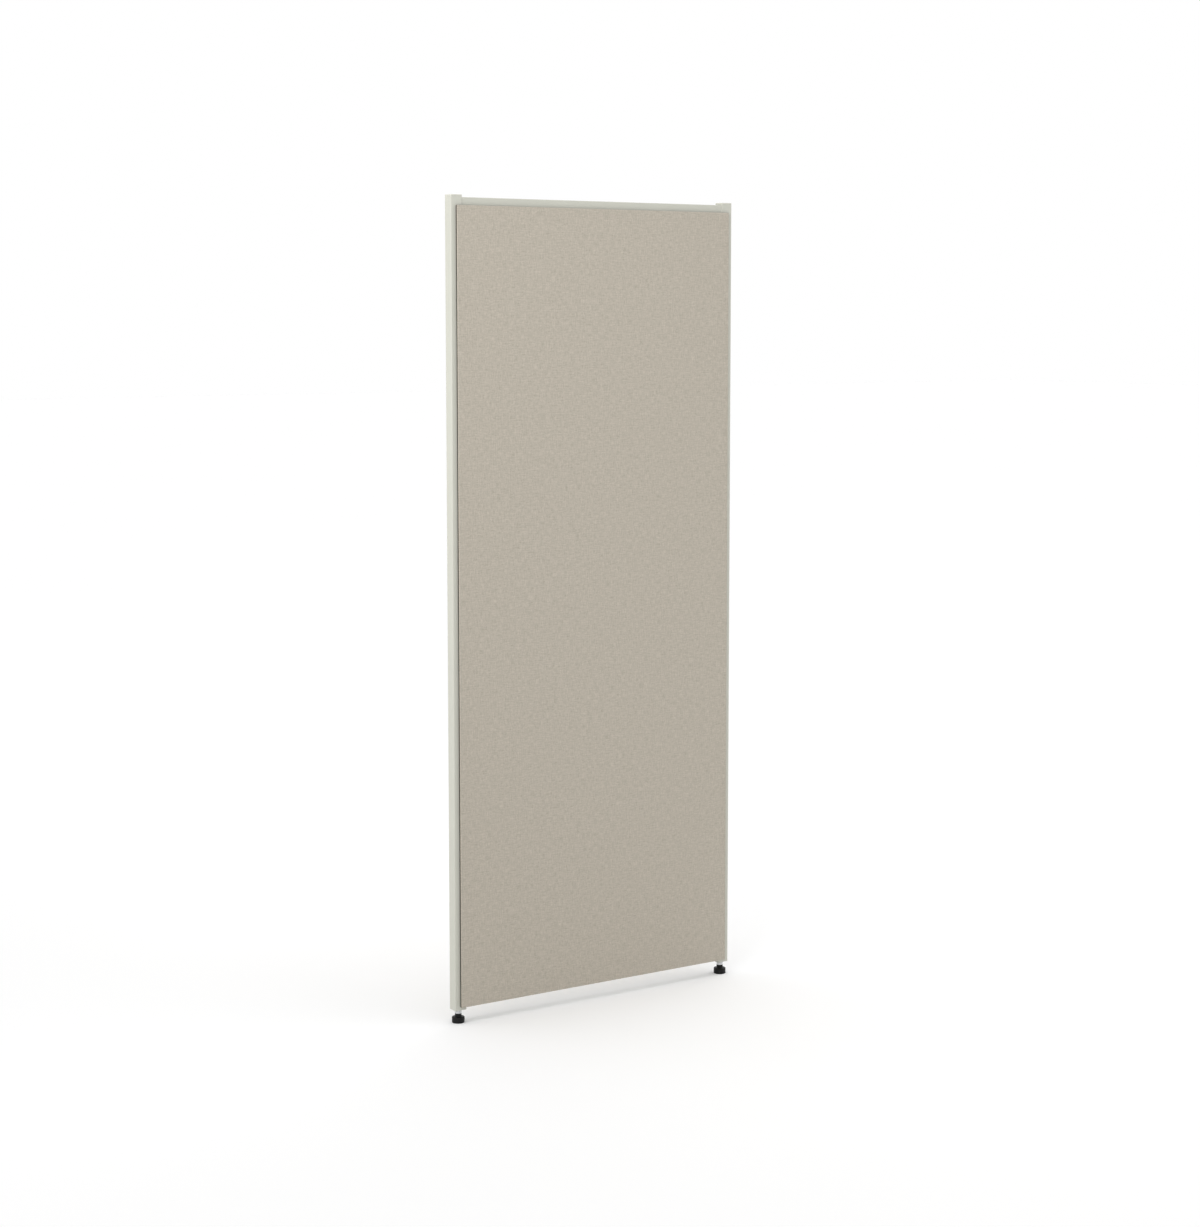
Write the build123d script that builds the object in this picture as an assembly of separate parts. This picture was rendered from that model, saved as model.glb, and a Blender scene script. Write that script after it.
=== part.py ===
from build123d import *
import os

# Office partition panel: a tubular steel frame with a fabric-covered tile clipped to
# each side, standing on two levelling feet.
# X runs along the width, Y through the thickness (the front faces -Y) and Z is up.
# The origin is on the floor, midway between the feet. All sizes are in millimetres.

# Overall size
panel_width = 762.0
panel_height = 1828.8

# Posts: rectangular steel tube
post_width = 28.6
post_depth = 25.4
post_wall = 1.2
post_corner = 1.6

# Top caps: a flange that covers the tube's end, over a hollow plug
cap_flange = 2.4
cap_edge = 0.9
cap_seam = 0.25
cap_plug_wall = 1.6
cap_plug_screw_gap = 1.0
cap_play = 0.15

# Rails: steel tube between the posts
rail_height = 31.8
rail_wall = 1.2
rail_corner = 1.6
rail_recess = 1.2
rail_end_gap = 0.3
top_rail_drop = 5.5
bottom_rail_lift = 4.0

# Tiles: a board wrapped in fabric, standing proud of the posts
tile_thickness = 6.35
tile_reveal = 12.3
tile_drop = 23.0
tile_floor_gap = 36.4
tile_corner = 1.5
tile_edge = 1.2
fabric_thickness = 0.7
fabric_return = 22.0

# Push-in clips that hold a tile on the posts
clip_rows = 5
clip_end_margin = 60.0
clip_hole = 8.0
clip_shank = 7.8
clip_catch = 8.8
clip_tip = 5.0
clip_head_length = 5.0
clip_catch_play = 0.3
clip_plug = 10.0
clip_plug_depth = 3.6
clip_slot = 1.2
clip_fabric_play = 0.2

# Infill between the tiles
infill_side_gap = 1.0
infill_end_gap = 4.0
infill_face_gap = 0.4

# Rail brackets: a bent U inside each end of a rail
bracket_wall = 2.0
bracket_reach = 30.0
bracket_play = 0.15
bracket_side_play = 0.3
bracket_bend = 1.0
bracket_screw_spacing = 13.0
rail_screw_inset = 20.0

# Pan-head screws
screw_shank = 5.0
screw_length = 8.0
screw_head = 9.2
screw_head_height = 2.8
screw_head_round = 1.2
screw_cross_width = 1.1
screw_cross_length = 5.2
screw_cross_depth = 1.4
screw_thread_play = 0.05
screw_pass_play = 0.25

# Levelling feet: a turning stem in a welded nut, over a pad that does not turn
thread_diameter = 9.525
thread_allowance = 0.15
glide_travel = 12.7
thread_spare = 7.75
foot_plate_thickness = 3.0
foot_plate_play = 0.5
hex_across_flats = 14.29
weld_nut_height = 8.3
stem_hex_height = 5.7
stem_shoulder = 13.6
stem_shoulder_height = 3.0
stem_chamfer = 1.0
journal_diameter = 8.0
journal_play = 0.05
bead_diameter = 9.2
bead_height = 1.6
bead_offset = 3.0
run_gap = 0.3
stop_gap = 0.2
pad_diameter = 28.4
pad_base_height = 13.5
pad_hub = 15.0
pad_hub_height = 7.0
pad_floor = 4.0
pad_round = 2.2
pad_foot_chamfer = 0.8
pad_hub_root = 1.5
pad_hub_round = 0.6

# Worked-out places
half_width = panel_width / 2
post_x = half_width - post_width / 2
post_inner_x = half_width - post_width
hub_top = pad_base_height + pad_hub_height
hex_bottom = hub_top + run_gap
shoulder_bottom = hex_bottom + stem_hex_height
thread_bottom = shoulder_bottom + stem_shoulder_height
post_bottom = thread_bottom + stop_gap
post_top = panel_height - cap_flange
post_inside_width = post_width - 2 * post_wall
post_inside_depth = post_depth - 2 * post_wall
post_inside_corner = post_corner - post_wall
rail_depth = post_depth - 2 * rail_recess
rail_length = 2 * (post_inner_x - rail_end_gap)
tile_bottom = tile_floor_gap
tile_top = panel_height - tile_drop
tile_height = tile_top - tile_bottom
tile_middle = (tile_top + tile_bottom) / 2
tile_width = panel_width - 2 * tile_reveal
rail_bottoms = {
    "top": panel_height - top_rail_drop - rail_height,
    "middle": tile_middle - rail_height / 2,
    "bottom": tile_bottom + bottom_rail_lift,
}
top_screw_height = rail_bottoms["top"] + (rail_height + bracket_screw_spacing) / 2
cap_plug_depth = post_top - top_screw_height - screw_shank / 2 - cap_plug_screw_gap
clip_x = (tile_width / 2 + post_inner_x) / 2
clip_reach = tile_height / 2 - clip_end_margin
clip_heights = [clip_reach * (2 * row / (clip_rows - 1) - 1) for row in range(clip_rows)]
clip_spots = [(side * clip_x, height) for side in (-1, 1) for height in clip_heights]

on_floor = (Align.CENTER, Align.CENTER, Align.MIN)
sides = {"left": -1, "right": 1}
tile_planes = {
    "front": Plane((0, -post_depth / 2, tile_middle), x_dir=(1, 0, 0), z_dir=(0, -1, 0)),
    "back": Plane((0, post_depth / 2, tile_middle), x_dir=(-1, 0, 0), z_dir=(0, 1, 0)),
}


def rounded_block(width, depth, height, corner):
    """A block on the XY plane with rounded upright edges."""
    return extrude(RectangleRounded(width, depth, corner), height)


def tube(width, depth, length, wall, corner):
    """A rectangular tube standing on the XY plane."""
    outside = rounded_block(width, depth, length, corner)
    return outside - rounded_block(width - 2 * wall, depth - 2 * wall, length, corner - wall)


def rod(diameter, height, bottom=0.0):
    """An upright round bar whose lower end is at the given height."""
    return Pos(0, 0, bottom) * Cylinder(diameter / 2, height, align=on_floor)


def hexagon(across_flats, height, bottom=0.0):
    """An upright hexagonal bar whose lower end is at the given height."""
    outline = RegularPolygon(across_flats / 2, 6, major_radius=False)
    return Pos(0, 0, bottom) * extrude(outline, height)


def group(pieces):
    """Several separate solids as one node."""
    return Compound([solid for piece in pieces for solid in piece.solids()])


def bracket_screw_places(side):
    """Where the screws of one post's brackets go, with their heads towards the rails."""
    return [
        Pos(side * (post_inner_x - bracket_wall), 0, bottom + rail_height / 2 + up)
        * Rot(0, -side * 90, 0)
        for bottom in rail_bottoms.values()
        for up in (-bracket_screw_spacing / 2, bracket_screw_spacing / 2)
    ]


def rail_screw_places(bottom):
    """Where the two screws under one rail go, with their heads down."""
    reach = post_inner_x - rail_screw_inset
    return [Pos(side * reach, 0, bottom) * Rot(180, 0, 0) for side in (-1, 1)]


def post(side):
    """A post with holes for its tile clips and for its bracket screws."""
    body = tube(post_width, post_depth, post_top - post_bottom, post_wall, post_corner)
    body = Pos(side * post_x, 0, post_bottom) * body
    clip_drill = Rot(90, 0, 0) * Cylinder(clip_hole / 2, 2 * post_depth)
    screw_drill = rod(screw_shank + 2 * screw_thread_play, 4 * post_wall, -4 * post_wall)
    reach = Pos(0, 0, -bracket_wall + post_wall)
    drills = [Pos(side * clip_x, 0, tile_middle + z) * clip_drill for z in clip_heights]
    drills += [place * reach * screw_drill for place in bracket_screw_places(side)]
    return body - drills


def top_cap(side):
    """A moulded cap: a flange as large as the tube, over a hollow plug inside it."""
    flange = rounded_block(post_width, post_depth, cap_flange, post_corner)
    flange = fillet(flange.faces().sort_by(Axis.Z)[-1].edges(), cap_edge)
    flange = chamfer(flange.faces().sort_by(Axis.Z)[0].edges(), cap_seam)
    plug = tube(
        post_inside_width - 2 * cap_play,
        post_inside_depth - 2 * cap_play,
        cap_plug_depth,
        cap_plug_wall,
        cap_plug_wall + post_inside_corner,
    )
    return Pos(side * post_x, 0, post_top) * (flange + Pos(0, 0, -cap_plug_depth) * plug)


def rail(bottom):
    """A rail from post to post, with a screw hole near each end of its lower wall."""
    body = tube(rail_height, rail_depth, rail_length, rail_wall, rail_corner)
    middle = bottom + rail_height / 2
    body = Pos(-rail_length / 2, 0, middle) * Rot(0, 90, 0) * body
    drill = rod(screw_shank + 2 * screw_pass_play, 4 * rail_wall, -2 * rail_wall)
    return body - [place * drill for place in rail_screw_places(bottom)]


def rail_bracket(side, bottom):
    """A bent U: its back lies on the post and its legs lie inside the rail."""
    height = rail_height - 2 * rail_wall - 2 * bracket_play
    width = rail_depth - 2 * rail_wall - 2 * bracket_side_play
    outside = Box(bracket_reach, width, height, align=(Align.MIN, Align.CENTER, Align.CENTER))
    bends = outside.edges().filter_by(Axis.Y).group_by(Axis.X)[0]
    outside = fillet(bends, bracket_bend + bracket_wall)
    inside = Box(
        bracket_reach,
        width,
        height - 2 * bracket_wall,
        align=(Align.MIN, Align.CENTER, Align.CENTER),
    )
    inner_bends = inside.edges().filter_by(Axis.Y).group_by(Axis.X)[0]
    inside = Pos(bracket_wall, 0, 0) * fillet(inner_bends, bracket_bend)
    turn = Rot(0, 0, 180) if side > 0 else Rot(0, 0, 0)
    place = Pos(side * post_inner_x, 0, bottom + rail_height / 2)
    body = place * turn * (outside - inside)
    back_drill = rod(screw_shank + 2 * screw_pass_play, 2 * bracket_wall, -2 * bracket_wall)
    leg_drill = rod(
        screw_shank + 2 * screw_thread_play, 2 * bracket_wall, -rail_wall - 2 * bracket_wall
    )
    drills = [spot * back_drill for spot in bracket_screw_places(side)]
    drills += [spot * leg_drill for spot in rail_screw_places(bottom)]
    return body - drills


def screw():
    """A pan-head screw, its head's underside on the XY plane and its shank below."""
    head = rod(screw_head, screw_head_height)
    head = fillet(head.edges().group_by(Axis.Z)[-1], screw_head_round)
    for turn in (0, 90):
        slot = Box(screw_cross_length, screw_cross_width, 2 * screw_cross_depth)
        head -= Pos(0, 0, screw_head_height) * Rot(0, 0, turn) * slot
    shank = rod(screw_shank, screw_length, -screw_length)
    return head + chamfer(shank.edges().group_by(Axis.Z)[0], 0.5)


def tile_block(inset):
    """A tile's outline, with a rounded front rim, set in by a distance on every face."""
    block = rounded_block(
        tile_width - 2 * inset,
        tile_height - 2 * inset,
        tile_thickness - 2 * inset,
        tile_corner - inset,
    )
    rim = block.faces().sort_by(Axis.Z)[-1].edges()
    return Pos(0, 0, inset) * fillet(rim, tile_edge - inset)


def tile_board():
    """A tile's board, with blind holes in its back for the clips."""
    hole = rod(clip_plug, clip_plug_depth, fabric_thickness)
    return tile_block(fabric_thickness) - [Pos(x, y, 0) * hole for x, y in clip_spots]


def tile_fabric():
    """A tile's cover: front, four sides, and a hem turned over onto the board's back."""
    window = rounded_block(
        tile_width - 2 * fabric_return,
        tile_height - 2 * fabric_return,
        2 * fabric_thickness,
        tile_corner,
    )
    hole = rod(clip_shank + 2 * clip_fabric_play, 2 * fabric_thickness)
    cover = tile_block(0) - tile_block(fabric_thickness) - window
    return cover - [Pos(x, y, 0) * hole for x, y in clip_spots]


def tile_clip():
    """A split push-in clip, with its plug in the board and its catch behind the wall."""
    catch = -post_wall - clip_catch_play
    tip = catch - clip_head_length
    body = rod(clip_plug, clip_plug_depth, fabric_thickness)
    body += rod(clip_shank, fabric_thickness - catch, catch)
    head = Cone(clip_tip / 2, clip_catch / 2, clip_head_length, align=on_floor)
    body += Pos(0, 0, tip) * head
    return body - Pos(0, 0, tip) * Box(clip_slot, clip_plug, -tip, align=on_floor)


def infill(bottom, top):
    """A slab of sound-absorbing infill between two rails and the two posts."""
    height = top - bottom - 2 * infill_end_gap
    width = 2 * (post_inner_x - infill_side_gap)
    slab = Box(width, post_depth - 2 * infill_face_gap, height, align=on_floor)
    return Pos(0, 0, bottom + infill_end_gap) * slab


def foot_plate(side):
    """A plate welded into the lower end of a post, flush with it."""
    plate = rounded_block(
        post_inside_width, post_inside_depth, foot_plate_thickness, post_inside_corner
    )
    plate -= rod(thread_diameter + 2 * foot_plate_play, foot_plate_thickness)
    return Pos(side * post_x, 0, post_bottom) * plate


def weld_nut(side):
    """A hexagonal nut welded on the foot plate, inside the post."""
    nut = hexagon(hex_across_flats, weld_nut_height) - rod(thread_diameter, weld_nut_height)
    return Pos(side * post_x, 0, post_bottom + foot_plate_thickness) * nut


def stem(side):
    """A levelling stem: journal with a snap bead, wrench hexagon, shoulder and thread."""
    journal_bottom = pad_floor + run_gap
    thread_length = foot_plate_thickness + weld_nut_height + glide_travel + thread_spare
    thread = rod(thread_diameter - thread_allowance, thread_length, thread_bottom)
    body = chamfer(thread.edges().group_by(Axis.Z)[-1], stem_chamfer)
    body += rod(journal_diameter, hex_bottom - journal_bottom, journal_bottom)
    body += rod(bead_diameter, bead_height, journal_bottom + bead_offset)
    body += hexagon(hex_across_flats, stem_hex_height, hex_bottom)
    body += rod(stem_shoulder, stem_shoulder_height, shoulder_bottom)
    return Pos(side * post_x, 0, 0) * body


def foot_pad(side):
    """A moulded pad: a round base and a hub, with a bore and a groove for the stem."""
    base = rod(pad_diameter, pad_base_height)
    base = fillet(base.edges().group_by(Axis.Z)[-1], pad_round)
    base = chamfer(base.edges().group_by(Axis.Z)[0], pad_foot_chamfer)
    hub = rod(pad_hub, pad_hub_height, pad_base_height)
    hub = fillet(hub.edges().group_by(Axis.Z)[-1], pad_hub_round)
    body = base + hub
    root = body.edges().filter_by(GeomType.CIRCLE).filter_by(
        lambda edge: abs(edge.radius - pad_hub / 2) < 0.01
        and abs(edge.center().Z - pad_base_height) < 0.01
    )
    body = fillet(root, pad_hub_root)
    body -= rod(journal_diameter + 2 * journal_play, hub_top - pad_floor, pad_floor)
    groove_height = bead_height + 2 * run_gap
    body -= rod(bead_diameter + 2 * journal_play, groove_height, pad_floor + bead_offset)
    return Pos(side * post_x, 0, 0) * body


nodes = {}
for name, side in sides.items():
    nodes[f"{name}_post"] = post(side)
    nodes[f"{name}_top_cap"] = top_cap(side)
    nodes[f"{name}_foot_plate"] = foot_plate(side)
    nodes[f"{name}_weld_nut"] = weld_nut(side)
    nodes[f"{name}_levelling_stem"] = stem(side)
    nodes[f"{name}_foot_pad"] = foot_pad(side)
    for level, bottom in rail_bottoms.items():
        nodes[f"{level}_{name}_bracket"] = rail_bracket(side, bottom)
for level, bottom in rail_bottoms.items():
    nodes[f"{level}_rail"] = rail(bottom)
for name, plane in tile_planes.items():
    nodes[f"{name}_tile_board"] = plane * tile_board()
    nodes[f"{name}_tile_fabric"] = plane * tile_fabric()
    nodes[f"{name}_tile_clips"] = group(plane * Pos(x, y, 0) * tile_clip() for x, y in clip_spots)
nodes["lower_infill"] = infill(rail_bottoms["bottom"] + rail_height, rail_bottoms["middle"])
nodes["upper_infill"] = infill(rail_bottoms["middle"] + rail_height, rail_bottoms["top"])
nodes["bracket_screws"] = group(
    place * screw() for side in sides.values() for place in bracket_screw_places(side)
)
nodes["rail_screws"] = group(
    place * screw() for bottom in rail_bottoms.values() for place in rail_screw_places(bottom)
)

os.makedirs("parts", exist_ok=True)
for name, piece in nodes.items():
    export_step(piece, f"parts/{name}.step")
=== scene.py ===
"""Office partition panel: powder-coated steel frame, fabric-covered tiles, levelling feet.

Lengths are in metres, in the frame's own axes: X along the width, the front faces -Y, Z up.
"""

import math

import bmesh
import bpy
import numpy as np
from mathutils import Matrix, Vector


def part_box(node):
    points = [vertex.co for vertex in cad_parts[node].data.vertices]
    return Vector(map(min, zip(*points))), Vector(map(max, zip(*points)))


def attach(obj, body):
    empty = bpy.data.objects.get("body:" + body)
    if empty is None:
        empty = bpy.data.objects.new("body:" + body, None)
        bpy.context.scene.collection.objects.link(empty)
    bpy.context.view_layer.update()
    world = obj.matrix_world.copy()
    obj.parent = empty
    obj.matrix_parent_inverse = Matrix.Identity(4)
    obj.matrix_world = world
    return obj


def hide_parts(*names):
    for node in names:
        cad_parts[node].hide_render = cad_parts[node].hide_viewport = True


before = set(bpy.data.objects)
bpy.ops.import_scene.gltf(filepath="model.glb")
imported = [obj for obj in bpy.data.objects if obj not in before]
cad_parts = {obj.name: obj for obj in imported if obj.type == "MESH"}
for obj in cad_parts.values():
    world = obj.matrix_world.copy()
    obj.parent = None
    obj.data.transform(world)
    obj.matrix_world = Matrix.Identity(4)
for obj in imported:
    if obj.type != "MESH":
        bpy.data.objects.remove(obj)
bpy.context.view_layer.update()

MM = 0.001
TURN = 2 * math.pi
SIDES = ("left", "right")
FACES = ("front", "back")

# Welding and shading of every mesh
MERGE_WITHIN = 0.002 * MM
SHARP_OVER = math.radians(38)

# Fabric cover of a tile. The rim is the part of its face that follows the outline, the cut is
# the flat cloth's size, and EDGE_FACING is the most that a side's normal points forwards.
# Sides behind EDGE_WRAP that face no further forwards are painted dark, as painted shade.
COVER_CLOTH = 0.7 * MM
COVER_HEM = 22 * MM
COVER_CORNER = 1.5 * MM
COVER_EDGE = 1.2 * MM
COVER_RIM = 3 * MM
COVER_CROWN = 0.3 * MM
COVER_CELL = 12 * MM
EDGE_FACING = 0.8
EDGE_WRAP = 2.4 * MM
ARC_POINTS = 7
FOLD_POINTS = 5

# Levelling stem, with a 3/8-16 thread
STEM_DIVISIONS = 48
THREAD_PITCH = 1.5875 * MM
THREAD_DEPTH = 0.92 * MM
THREAD_RADIUS = 4.6875 * MM
THREAD_ROWS = 10
THREAD_CHAMFER = 1.0 * MM
THREAD_FLAT = 0.1
THREAD_RISE = 0.75
SHOULDER_RADIUS = 6.8 * MM
SHOULDER_HEIGHT = 3.0 * MM
HEX_HALF_FLATS = 7.145 * MM
HEX_HEIGHT = 5.7 * MM
HEX_CHAMFER = 0.55 * MM
HEX_CONE_START = 0.96
HEX_CONE_SLOPE = 1.8
JOURNAL_RADIUS = 4.0 * MM
JOURNAL_HEIGHT = 16.5 * MM
BEAD_RADIUS = 4.6 * MM
BEAD_HEIGHT = 1.6 * MM
BEAD_OFFSET = 3.0 * MM
TURNED_EDGE = 0.3 * MM

# Infill slabs
SLAB_ROUND = 9 * MM
SLAB_CELL = 8 * MM
SLAB_LUMP = 0.35 * MM
SLAB_CROWN = 0.03
SLAB_PERIODS = (90 * MM, 55 * MM, 34 * MM, 21 * MM)
SLAB_SEED = 16


# ---- Meshes


def make_piece(name, points, faces, cloth=None):
    """A mesh object of points and faces, its doubles merged and its faces turned outwards.

    cloth gives each point's place on the flat cloth; it becomes the map named cloth."""
    mesh = bpy.data.meshes.new(name)
    mesh.from_pydata(points.tolist(), [], faces.tolist())
    if cloth is not None:
        corners = np.zeros(len(mesh.loops), np.int32)
        mesh.loops.foreach_get("vertex_index", corners)
        layer = mesh.uv_layers.new(name="cloth")
        layer.uv.foreach_set("vector", cloth[corners].astype(np.float32).ravel())
    shape = bmesh.new()
    shape.from_mesh(mesh)
    bmesh.ops.remove_doubles(shape, verts=shape.verts, dist=MERGE_WITHIN)
    bmesh.ops.recalc_face_normals(shape, faces=shape.faces)
    shape.to_mesh(mesh)
    shape.free()
    mesh.shade_smooth()
    mesh.set_sharp_from_angle(angle=SHARP_OVER)
    piece = bpy.data.objects.new(name, mesh)
    bpy.context.scene.collection.objects.link(piece)
    return piece


def grid_faces(rows, columns, first=0, closed=False):
    """Quads between neighbouring rows of points. A closed grid joins its last column on."""
    row, column = np.mgrid[: rows - 1, : columns if closed else columns - 1]
    near, far = row * columns, (row + 1) * columns
    after = (column + 1) % columns
    quads = np.stack([near + column, near + after, far + after, far + column], axis=-1)
    return first + quads.reshape(-1, 4)


def arc(centre, radius, degrees):
    """Points on a circle at some angles: centre plus radius times cosine and sine."""
    angle = np.radians(degrees)
    return np.column_stack([np.cos(angle), np.sin(angle)]) * radius + centre


def ring(half_width, half_height, out, across, up):
    """Points round a rounded rectangle that is set out by a distance, and their directions.

    Each corner is an arc of radius COVER_CORNER + out, or a point where that is negative,
    and each straight run is divided evenly, so that rings of any size join point by point."""
    radius = max(COVER_CORNER + out, 0)
    x, z = half_width + out - radius, half_height + out - radius
    corners = ((x, -z), (x, z), (-x, z), (-x, -z))
    steps = np.linspace(-90, 0, ARC_POINTS)
    bends = [arc(corner, radius, steps + 90 * k) for k, corner in enumerate(corners)]
    turns = [arc((0, 0), 1, steps + 90 * k) for k in range(4)]
    points, directions = [], []
    for k, cells in enumerate((up, across, up, across)):
        share = np.linspace(0, 1, cells)[1:-1, None]
        start, end = bends[k][-1], bends[(k + 1) % 4][0]
        points += [bends[k], start + (end - start) * share]
        directions += [turns[k], np.repeat(turns[k][-1:], cells - 2, axis=0)]
    return np.concatenate(points), np.concatenate(directions)


def cover_profile(depth):
    """The cover's section: distance out from the tile's outline, and depth behind its face.

    It goes round the front edge, down the side, round onto the back and in along the hem,
    turns back at the hem's cut end, and returns along the cloth's inner side."""
    edge_centre = (-COVER_EDGE, COVER_EDGE)
    back = depth - COVER_CLOTH
    hem_end = COVER_CLOTH / 2 - COVER_HEM
    outer = [
        [(-COVER_RIM, 0)],
        arc(edge_centre, COVER_EDGE, np.linspace(-90, 0, ARC_POINTS)),
        [(0, EDGE_WRAP)],
        arc((-COVER_CLOTH, back), COVER_CLOTH, np.linspace(0, 90, FOLD_POINTS)),
        [(-COVER_HEM / 2, depth)],
    ]
    cut_centre = (hem_end, depth - COVER_CLOTH / 2)
    cut_end = [arc(cut_centre, COVER_CLOTH / 2, np.linspace(90, 270, FOLD_POINTS))]
    inner = [
        [(-COVER_HEM / 2, back), (-COVER_CLOTH, back)],
        arc(edge_centre, COVER_EDGE - COVER_CLOTH, np.linspace(0, -90, FOLD_POINTS)),
        [(-COVER_RIM, COVER_CLOTH)],
    ]
    return np.concatenate(outer), np.concatenate(cut_end + inner)


def tile_cover(face):
    """A tile's fabric cover, as one closed skin round the cloth's whole thickness.

    Its rim is the section above carried round the tile's outline. Its face is a grid of u and
    v from -1 to 1 that bows out by COVER_CROWN times (1 - u to the 6th) (1 - v to the 6th).
    What faces sideways further back than EDGE_WRAP takes the second material, a dark painted shade
    along the tile's sides."""
    low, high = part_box(f"{face}_tile_fabric")
    half_width, half_height = (high.x - low.x) / 2, (high.z - low.z) / 2
    across, up = (round(2 * half / COVER_CELL) for half in (half_width, half_height))
    outer, inner = cover_profile(high.y - low.y)
    outer_run = np.cumsum(np.hypot(*np.diff(outer, axis=0, prepend=outer[:1]).T))
    inner_run = np.cumsum(np.hypot(*np.diff(inner, axis=0, prepend=inner[:1]).T))
    hem_run = outer_run[-1] + COVER_HEM / 2
    runs = np.concatenate([outer_run, hem_run * (1 - inner_run / inner_run[-1])])
    points, flat, faces = [], [], []
    for (out, depth), run in zip(np.concatenate([outer, inner]), runs):
        around, direction = ring(half_width, half_height, out, across, up)
        points.append(np.insert(around, 1, depth, axis=1))
        flat.append(around + direction * (run - COVER_RIM - out))
    columns = len(points[0])
    faces.append(grid_faces(len(points), columns, closed=True))
    count = len(runs) * columns
    u, v = np.meshgrid(np.linspace(-1, 1, across), np.linspace(-1, 1, up))
    x, z = u * (half_width - COVER_RIM), v * (half_height - COVER_RIM)
    crown = COVER_CROWN * (1 - u**6) * (1 - v**6)
    for level in (0, COVER_CLOTH):
        points.append(np.stack([x, level - crown, z], axis=-1).reshape(-1, 3))
        flat.append(np.stack([x, z], axis=-1).reshape(-1, 2))
        faces.append(grid_faces(up, across, first=count))
        count += up * across
    points = np.concatenate(points)
    outward = 1 if face == "front" else -1
    points[:, 0] *= outward
    face_place = low.y if face == "front" else high.y
    points[:, 1] = face_place + outward * points[:, 1]
    points[:, 2] += (low.z + high.z) / 2
    cover = make_piece(f"{face}_tile_cover", points, np.concatenate(faces), np.concatenate(flat))
    normals, centres = np.zeros((2, 3 * len(cover.data.polygons)), np.float32)
    cover.data.polygons.foreach_get("normal", normals)
    cover.data.polygons.foreach_get("center", centres)
    # Sideways faces behind EDGE_WRAP take the dark second material, painted shade along the tile's
    # sides
    behind = outward * (centres[1::3] - face_place) > EDGE_WRAP
    shaded_side_faces = behind & (np.abs(normals[1::3]) < EDGE_FACING)
    cover.data.polygons.foreach_set("material_index", shaded_side_faces.astype(np.int32))
    return cover


def stem_rows(length):
    """Rows up a stem: height, round radius, and whether the row is hexagonal or threaded."""
    hex_low = JOURNAL_HEIGHT
    hex_high = hex_low + HEX_HEIGHT
    shoulder = hex_high + SHOULDER_HEIGHT
    bead_top = BEAD_OFFSET + BEAD_HEIGHT
    soft = TURNED_EDGE
    cone = HEX_CHAMFER * np.linspace(0, 1, FOLD_POINTS)
    hexes = np.concatenate([[hex_low], hex_low + cone, hex_high - cone[::-1], [hex_high]])
    thread = np.linspace(shoulder, length, round((length - shoulder) / THREAD_PITCH * THREAD_ROWS))
    smooth = [
        (0, 0),
        (0, JOURNAL_RADIUS - soft),
        (soft, JOURNAL_RADIUS),
        (BEAD_OFFSET, JOURNAL_RADIUS),
        (BEAD_OFFSET + soft, BEAD_RADIUS),
        (bead_top - soft, BEAD_RADIUS),
        (bead_top, JOURNAL_RADIUS),
        (hex_low, JOURNAL_RADIUS),
    ]
    collar = [
        (hex_high, SHOULDER_RADIUS),
        (shoulder - soft, SHOULDER_RADIUS),
        (shoulder, SHOULDER_RADIUS - soft),
    ]
    hex_rows = [(height, 1, 1, 0) for height in hexes]
    thread_rows = [(height, THREAD_RADIUS, 0, 1) for height in thread]
    plain = [(height, radius, 0, 0) for height, radius in smooth]
    collar = [(height, radius, 0, 0) for height, radius in collar]
    return np.array(plain + hex_rows + collar + thread_rows + [(length, 0, 0, 0)])


def levelling_stem(side):
    """A levelling stem: its radius is a function of height and angle.

    A flat of the hexagon is half its width over the cosine of the angle from the flat's
    middle, cut by a cone at each end that rises HEX_CONE_SLOPE for each unit of height. The
    thread is a triangular wave of height over pitch less angle over a turn, with a flat root
    and crest, cut by a cone at its end."""
    low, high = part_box(f"{side}_levelling_stem")
    length = high.z - low.z
    height, radius, hexed, threaded = (column[:, None] for column in stem_rows(length).T)
    angle = np.linspace(0, TURN, STEM_DIVISIONS, endpoint=False)[None, :]
    sixth = TURN / 6
    flat = HEX_HALF_FLATS / np.cos((angle + sixth / 2) % sixth - sixth / 2)
    hex_end = np.minimum(height - JOURNAL_HEIGHT, JOURNAL_HEIGHT + HEX_HEIGHT - height)
    flat = np.minimum(flat, HEX_CONE_START * HEX_HALF_FLATS + HEX_CONE_SLOPE * hex_end)
    wave = np.abs((height / THREAD_PITCH - angle / TURN) % 1 - 0.5) * 2
    crest = np.clip((wave - THREAD_FLAT) / THREAD_RISE, 0, 1)
    thread = radius - THREAD_DEPTH * (1 - crest)
    thread = np.minimum(thread, THREAD_RADIUS - THREAD_CHAMFER + (length - height))
    radius = np.where(hexed > 0, flat, np.where(threaded > 0, thread, radius))
    x, y = (low.x + high.x) / 2, (low.y + high.y) / 2
    points = np.stack(
        [x + radius * np.cos(angle), y + radius * np.sin(angle), low.z + height + 0 * angle],
        axis=-1,
    )
    faces = grid_faces(*radius.shape, closed=True)
    return make_piece(f"{side}_threaded_stem", points.reshape(-1, 3), faces)


def even_run(half, margin):
    """Places from -half to half: close together in a margin at each end, then evenly spaced."""
    rim = half - margin * (1 - np.cos(np.linspace(0, TURN / 4, ARC_POINTS)))
    middle = np.linspace(-rim[-1], rim[-1], round(2 * rim[-1] / SLAB_CELL))
    return np.concatenate([-rim[:-1], middle, rim[-2::-1]])


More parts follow.
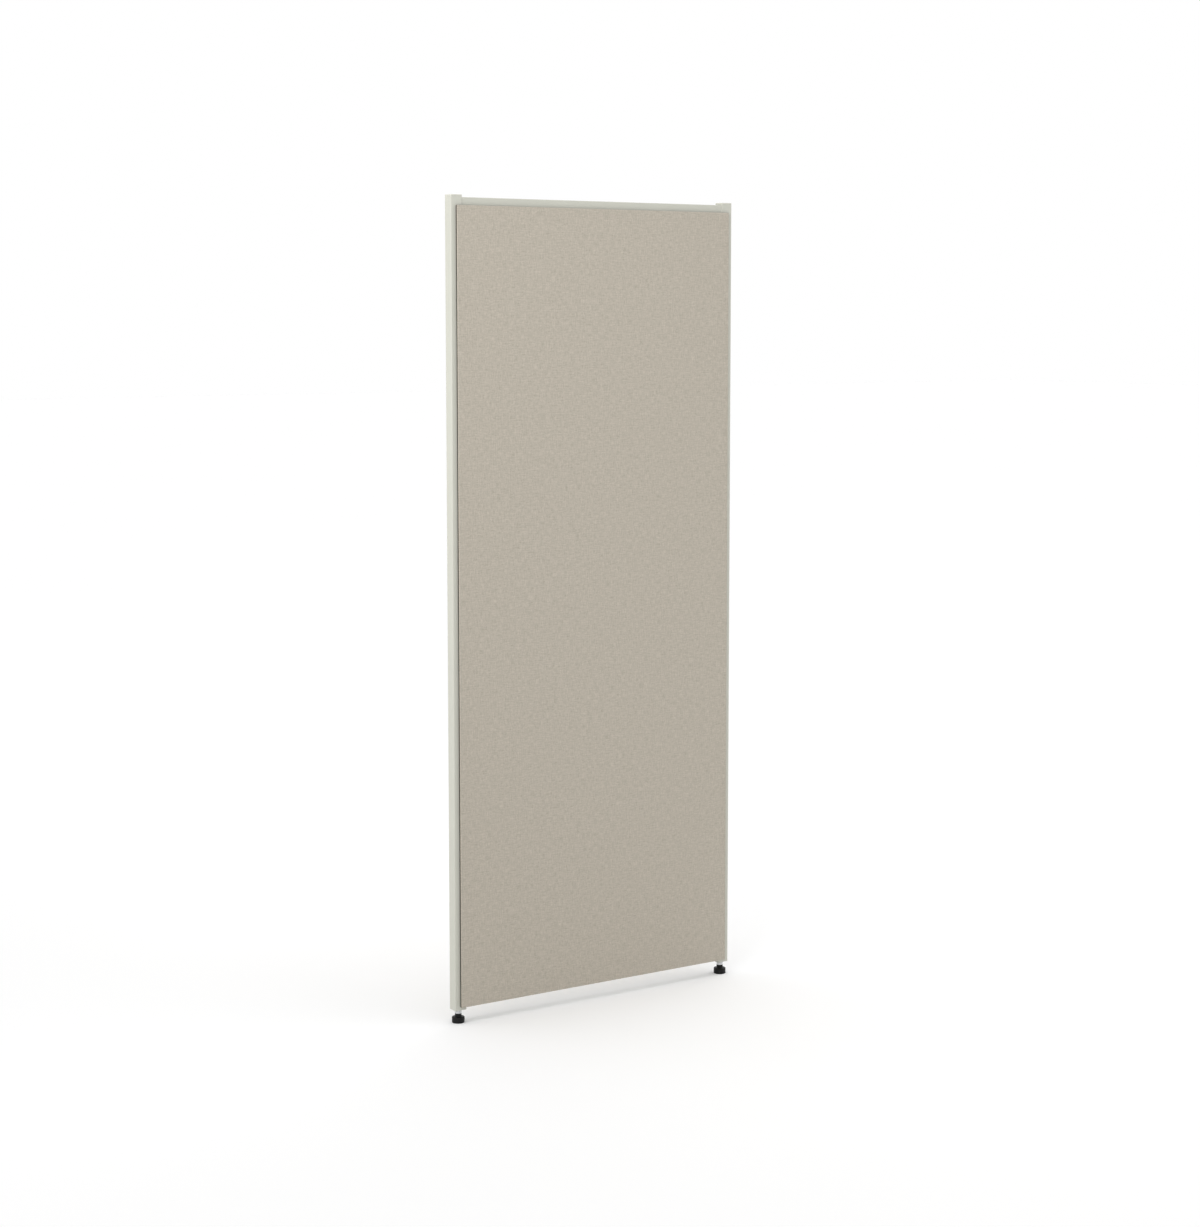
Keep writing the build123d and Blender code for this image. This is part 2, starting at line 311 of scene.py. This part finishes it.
def infill_slab(level):
    """A slab of infill: two skins that meet round its edge.

    Half its thickness falls off to the edge as a quarter circle of radius SLAB_ROUND would,
    times a slow crown, less a lumpiness that is a sum of waves in seeded directions."""
    low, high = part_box(f"{level}_infill")
    half = (high - low) / 2
    centre = (high + low) / 2
    x, z = np.meshgrid(even_run(half.x, SLAB_ROUND), even_run(half.z, SLAB_ROUND))
    edge = np.minimum(half.x - np.abs(x), half.z - np.abs(z)) / SLAB_ROUND
    fall = np.sqrt(np.clip(1 - (1 - np.clip(edge, 0, 1)) ** 2, 0, 1))
    crown = 1 - SLAB_CROWN * ((x / half.x) ** 4 + (z / half.z) ** 4)
    draw = np.random.default_rng(SLAB_SEED)
    lumps = np.zeros_like(x)
    for period in SLAB_PERIODS:
        heading, phase = draw.uniform(0, TURN, 2)
        along = x * math.cos(heading) + z * math.sin(heading)
        lumps += np.sin(TURN * along / period + phase) / len(SLAB_PERIODS)
    thick = fall * (half.y * crown - SLAB_LUMP * (1 + lumps))
    skins = [np.stack([x, side * thick, z], axis=-1).reshape(-1, 3) for side in (-1, 1)]
    faces = grid_faces(*x.shape)
    both = np.concatenate([faces, faces + x.size])
    return make_piece(f"{level}_infill_slab", np.concatenate(skins) + np.array(centre), both)


# ---- Materials

# A wave texture's stripes are this far apart at a scale of 1
WAVE_SCALE = TURN / 20


def linear(colour):
    """An sRGB hex colour as linear red, green and blue, with alpha."""
    parts = [int(colour[at : at + 2], 16) / 255 for at in (0, 2, 4)]
    return [p / 12.92 if p < 0.04045 else ((p + 0.055) / 1.055) ** 2.4 for p in parts] + [1]


def add(tree, kind, inputs=None, **settings):
    """Adds a node with its settings. Each input is a number or colour, or a socket to link."""
    node = tree.nodes.new("ShaderNode" + kind)
    for name, value in settings.items():
        setattr(node, name, value)
    for name, value in (inputs or {}).items():
        if isinstance(value, bpy.types.NodeSocket):
            tree.links.new(value, node.inputs[name])
        else:
            node.inputs[name].default_value = value
    return node


def start(name):
    """A new material's node tree, and its shader, which is already linked to the output."""
    material = bpy.data.materials.new(name)
    material.use_nodes = True
    tree = material.node_tree
    tree.nodes.clear()
    shader = add(tree, "BsdfPrincipled")
    add(tree, "OutputMaterial", {"Surface": shader.outputs["BSDF"]})
    return material, tree, shader


def noise(tree, place, period, detail=2):
    """A noise from 0 to 1 whose features are a period apart."""
    made = add(tree, "TexNoise", {"Vector": place, "Scale": 1 / period, "Detail": detail})
    return made.outputs["Fac"]


def combine(tree, operation, first, second):
    """Two values joined by a sum or another operation."""
    return add(tree, "Math", {0: first, 1: second}, operation=operation).outputs[0]


def spread(tree, value, low, high, start_at=0.3, end_at=0.7):
    """A value stretched from one range onto another, and held at its ends."""
    ends = {"From Min": start_at, "From Max": end_at, "To Min": low, "To Max": high}
    return add(tree, "MapRange", {"Value": value, **ends}).outputs["Result"]


def mottle(tree, share, dark, light):
    """A colour between a darker and a lighter one, by a value's share."""
    ends = {0: share, 6: linear(dark), 7: linear(light)}
    return add(tree, "Mix", ends, data_type="RGBA").outputs[2]


def bump(tree, height, depth):
    """Normals tilted by a relief of some depth."""
    return add(tree, "Bump", {"Height": height, "Distance": depth}).outputs["Normal"]


def finish(tree, shader, colour, roughness, normal):
    """Links a material's colour, roughness and relief to its shader."""
    for name, socket in (("Base Color", colour), ("Roughness", roughness), ("Normal", normal)):
        tree.links.new(socket, shader.inputs[name])


def powder_coat():
    """Powder-coated steel: satin, with the fine orange peel of baked polyester powder."""
    material, tree, shader = start("powder_coated_steel")
    place = add(tree, "TexCoord").outputs["Object"]
    peel = noise(tree, place, 2.4 * MM, 1)
    finish(
        tree,
        shader,
        mottle(tree, noise(tree, place, 60 * MM), "c5c5ba", "cacabf"),
        spread(tree, noise(tree, place, 5 * MM), 0.42, 0.52),
        bump(tree, peel, 0.05 * MM),
    )
    return material


def cap_plastic():
    """Moulded polypropylene in the frame's colour: a fine spark-eroded grain, softer gloss."""
    material, tree, shader = start("moulded_cap_plastic")
    place = add(tree, "TexCoord").outputs["Object"]
    grain = noise(tree, place, 0.8 * MM, 3)
    finish(
        tree,
        shader,
        mottle(tree, noise(tree, place, 20 * MM), "cfcec3", "d3d2c7"),
        spread(tree, grain, 0.42, 0.56),
        bump(tree, grain, 0.04 * MM),
    )
    shader.inputs["Subsurface Weight"].default_value = 0.04
    shader.inputs["Subsurface Radius"].default_value = (2 * MM, 2 * MM, 1.5 * MM)
    shader.inputs["Subsurface Scale"].default_value = 1.0
    return material


def panel_fabric():
    """Woven heathered polyester: two sets of slubby yarns whose shades drift, and matt pile.

    The yarns are 1.3 mm apart in the cloth, and drawn 2.6 mm apart so that they show. They
    follow the cloth's own map, so they turn with it round the tile's edges."""
    material, tree, shader = start("woven_panel_fabric")
    cloth = add(tree, "UVMap", uv_map="cloth").outputs["UV"]
    slub, yarn = 16 * MM, 2.6 * MM
    shades, ridges = [], []
    for stretch in ((1 / yarn, 1 / slub, 1), (1 / slub, 1 / yarn, 1)):
        along = add(tree, "Mapping", {"Vector": cloth, "Scale": stretch}).outputs["Vector"]
        shades.append(noise(tree, along, 1, 2))
    for direction in ("X", "Y"):
        wave = add(
            tree,
            "TexWave",
            {
                "Vector": cloth,
                "Scale": WAVE_SCALE / yarn,
                "Distortion": 1.2,
                "Detail": 1.0,
                "Detail Scale": 1.5,
            },
            bands_direction=direction,
        )
        ridges.append(wave.outputs["Fac"])
    heather = noise(tree, cloth, 3.2 * MM, 2)
    yarns = combine(tree, "ADD", *shades)
    mixed = combine(tree, "ADD", yarns, heather)
    weave = combine(tree, "MULTIPLY", *ridges)
    relief = combine(tree, "ADD", weave, combine(tree, "MULTIPLY", yarns, 0.6))
    finish(
        tree,
        shader,
        mottle(tree, spread(tree, mixed, 0, 1, 1.1, 1.9), "a8a194", "c2baad"),
        spread(tree, heather, 0.85, 0.95),
        bump(tree, relief, 0.16 * MM),
    )
    shader.inputs["Sheen Weight"].default_value = 0.12
    shader.inputs["Sheen Roughness"].default_value = 0.5
    shader.inputs["Specular IOR Level"].default_value = 0.25
    return material


def dark_side_shade():
    """Painted shade on a tile's sides: a dark brown-grey standing in for shade there, ribbed
    across, quite matt.
    """
    material, tree, shader = start("painted_side_shade")
    cloth = add(tree, "UVMap", uv_map="cloth").outputs["UV"]
    threads = noise(tree, cloth, 1.5 * MM, 3)
    finish(
        tree,
        shader,
        # Dark brown-grey painted shade, not the cloth's own colour
        mottle(tree, threads, "2a2721", "3d3931"),
        spread(tree, threads, 0.8, 0.95),
        bump(tree, threads, 0.1 * MM),
    )
    shader.inputs["Specular IOR Level"].default_value = 0.2
    return material


def hardboard():
    """Pressed hardboard: brown wood fibre, smooth and slightly burnished on its face."""
    material, tree, shader = start("pressed_hardboard")
    place = add(tree, "TexCoord").outputs["Object"]
    fibre = noise(tree, place, 1.8 * MM, 5)
    finish(
        tree,
        shader,
        mottle(tree, fibre, "6b4a30", "8d6a48"),
        spread(tree, fibre, 0.55, 0.75),
        bump(tree, fibre, 0.08 * MM),
    )
    return material


def mineral_wool():
    """Bonded mineral wool: long matted fibres, yellowish, quite matt and open."""
    material, tree, shader = start("matted_mineral_wool")
    place = add(tree, "TexCoord").outputs["Object"]
    along = add(
        tree,
        "Mapping",
        {"Vector": place, "Rotation": (0, 0.5, 0), "Scale": (1 / (14 * MM), 400, 1 / (2 * MM))},
    )
    fibres = noise(tree, along.outputs["Vector"], 1, 5)
    finish(
        tree,
        shader,
        mottle(tree, fibres, "8f8150", "c9bd86"),
        spread(tree, fibres, 0.9, 1.0),
        bump(tree, fibres, 0.8 * MM),
    )
    return material


def clip_nylon():
    """Natural moulded nylon: milky, faintly translucent, smooth from a polished mould."""
    material, tree, shader = start("moulded_nylon")
    place = add(tree, "TexCoord").outputs["Object"]
    cloud = noise(tree, place, 4 * MM)
    finish(
        tree,
        shader,
        mottle(tree, cloud, "dcd8ca", "e9e6da"),
        spread(tree, cloud, 0.3, 0.4),
        bump(tree, noise(tree, place, 1 * MM), 0.02 * MM),
    )
    shader.inputs["Subsurface Weight"].default_value = 0.15
    shader.inputs["Subsurface Radius"].default_value = (3 * MM, 3 * MM, 2 * MM)
    shader.inputs["Subsurface Scale"].default_value = 1.0
    return material


def pad_plastic():
    """Moulded black polyethylene: a dull bloom, a fine mould grain, and scuffs near the floor."""
    material, tree, shader = start("moulded_black_pad_plastic")
    place = add(tree, "TexCoord").outputs["Object"]
    grain = noise(tree, place, 0.7 * MM, 3)
    scuff = noise(tree, place, 6 * MM, 6)
    finish(
        tree,
        shader,
        mottle(tree, spread(tree, scuff, 0, 1, 0.5, 0.75), "050505", "0d0d0c"),
        spread(tree, scuff, 0.4, 0.62),
        bump(tree, grain, 0.05 * MM),
    )
    shader.inputs["Specular IOR Level"].default_value = 0.3
    return material


def zinc_plate():
    """Bright zinc plating on turned steel: a pale metal with a soft cloudy passivation."""
    material, tree, shader = start("zinc_plated_steel")
    place = add(tree, "TexCoord").outputs["Object"]
    cloud = noise(tree, place, 3 * MM, 3)
    lathe = add(tree, "Mapping", {"Vector": place, "Scale": (60, 60, 1 / (0.3 * MM))})
    finish(
        tree,
        shader,
        mottle(tree, cloud, "c6c8ca", "dcddde"),
        spread(tree, cloud, 0.26, 0.4),
        bump(tree, noise(tree, lathe.outputs["Vector"], 1, 2), 0.01 * MM),
    )
    shader.inputs["Metallic"].default_value = 1.0
    return material


def studio_floor():
    """A white painted studio floor, quite matt, with a barely seen roller texture."""
    material, tree, shader = start("white_studio_floor")
    place = add(tree, "TexCoord").outputs["Object"]
    finish(
        tree,
        shader,
        mottle(tree, noise(tree, place, 1.5), "fafafa", "fbfbfb"),
        spread(tree, noise(tree, place, 0.2), 0.95, 1.0),
        bump(tree, noise(tree, place, 12 * MM), 0.05 * MM),
    )
    shader.inputs["Specular IOR Level"].default_value = 0.0
    return material


# ---- Object

coat, plastic, fabric, board = powder_coat(), cap_plastic(), panel_fabric(), hardboard()
shade_paint = dark_side_shade()
wool, nylon, black, zinc = mineral_wool(), clip_nylon(), pad_plastic(), zinc_plate()

node_finishes = {"bracket_screws": zinc, "rail_screws": zinc}
for side in SIDES:
    node_finishes[f"{side}_post"] = coat
    node_finishes[f"{side}_top_cap"] = plastic
    node_finishes[f"{side}_foot_plate"] = coat
    node_finishes[f"{side}_weld_nut"] = zinc
    node_finishes[f"{side}_foot_pad"] = black
for level in ("top", "middle", "bottom"):
    node_finishes[f"{level}_rail"] = coat
    for side in SIDES:
        node_finishes[f"{level}_{side}_bracket"] = zinc
for face in FACES:
    node_finishes[f"{face}_tile_board"] = board
    node_finishes[f"{face}_tile_clips"] = nylon
for name, material in node_finishes.items():
    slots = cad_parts[name].data.materials
    slots.clear()
    slots.append(material)

for face in FACES:
    cover = tile_cover(face)
    cover.data.materials.append(fabric)
    # The second material is painted shade on the cover's sides
    cover.data.materials.append(shade_paint)
    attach(cover, "panel")
    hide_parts(f"{face}_tile_fabric")

for side in SIDES:
    stem = levelling_stem(side)
    stem.data.materials.append(zinc)
    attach(stem, f"{side}_levelling_stem")
    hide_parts(f"{side}_levelling_stem")

for level in ("lower", "upper"):
    slab = infill_slab(level)
    slab.data.materials.append(wool)
    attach(slab, "panel")
    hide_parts(f"{level}_infill")


# ---- Studio

FLOOR_HALF = 40.0
SKY_RISE = 1.12
SKY_LEFT = 0.5
SKY_RIGHT = 0.9
KEY_PLACE = (-3.2, -2.3, 3.0)
KEY_AIM = (0.0, 0.0, 1.95)
KEY_SIZE = 1.2
KEY_WATTS = 6.0
KEY_SPREAD = 60
SIDE_PLACE = (-4.2, -0.4, 2.2)
SIDE_AIM = (-0.38, 0.0, 1.3)
SIDE_SIZE = 1.0
SIDE_WATTS = 3.0
SIDE_SPREAD = 50


def studio():
    """A white floor under a soft sky, and two softboxes beyond the panel's left end.

    The sky's light is SKY_RISE times a direction's height, plus SKY_LEFT or SKY_RIGHT times
    how far it leans to that side. Seen directly it is plain white."""
    corners = np.array([(-1, -1, 0), (1, -1, 0), (1, 1, 0), (-1, 1, 0)]) * FLOOR_HALF
    floor = make_piece("studio_floor", corners, np.array([[0, 1, 2, 3]]))
    floor.data.materials.append(studio_floor())

    world = bpy.data.worlds.new("studio_sky")
    bpy.context.scene.world = world
    world.use_nodes = True
    tree = world.node_tree
    tree.nodes.clear()
    direction = add(tree, "TexCoord").outputs["Generated"]
    axes = add(tree, "SeparateXYZ", {0: direction}).outputs
    rise = combine(tree, "MULTIPLY", combine(tree, "MAXIMUM", axes["Z"], 0.0), SKY_RISE)
    left = combine(tree, "MULTIPLY", combine(tree, "MINIMUM", axes["X"], 0.0), -SKY_LEFT)
    right = combine(tree, "MULTIPLY", combine(tree, "MAXIMUM", axes["X"], 0.0), SKY_RIGHT)
    light = combine(tree, "ADD", rise, combine(tree, "ADD", left, right))
    seen = add(tree, "LightPath").outputs["Is Camera Ray"]
    strength = add(tree, "Mix", {0: seen, 2: light, 3: 1.0}, data_type="FLOAT").outputs[0]
    sky = add(tree, "Background", {"Color": (1, 1, 1, 1), "Strength": strength})
    add(tree, "OutputWorld", {"Surface": sky.outputs[0]})

    lamps = {
        "high_softbox": (KEY_PLACE, KEY_AIM, KEY_SIZE, KEY_WATTS, KEY_SPREAD),
        "side_softbox": (SIDE_PLACE, SIDE_AIM, SIDE_SIZE, SIDE_WATTS, SIDE_SPREAD),
    }
    for name, (place, aim, size, watts, spread_angle) in lamps.items():
        lamp = bpy.data.objects.new(name, bpy.data.lights.new(name, "AREA"))
        lamp.data.size = size
        lamp.data.energy = watts
        lamp.data.spread = math.radians(spread_angle)
        lamp.location = place
        heading = Vector(aim) - Vector(place)
        lamp.rotation_euler = heading.to_track_quat("-Z", "Y").to_euler()
        bpy.context.scene.collection.objects.link(lamp)


# ---- Camera: at standing eye height, to the left of the panel and looking slightly down

CAMERA_PLACE = (-3.1717, -4.6139, 1.5689)
CAMERA_HEADING = -34.656
CAMERA_TILT = 84.162
CAMERA_LENS = 72.582
CAMERA_SHIFT = -0.0367

studio()
camera = bpy.data.objects.new("camera", bpy.data.cameras.new("camera"))
camera.location = CAMERA_PLACE
camera.rotation_euler = [math.radians(turn) for turn in (CAMERA_TILT, 0, CAMERA_HEADING)]
camera.data.sensor_width = 36.0
camera.data.lens = CAMERA_LENS
camera.data.shift_y = CAMERA_SHIFT
camera.data.clip_end = 200.0
bpy.context.scene.collection.objects.link(camera)
bpy.context.scene.camera = camera
bpy.context.scene.view_settings.view_transform = "Standard"
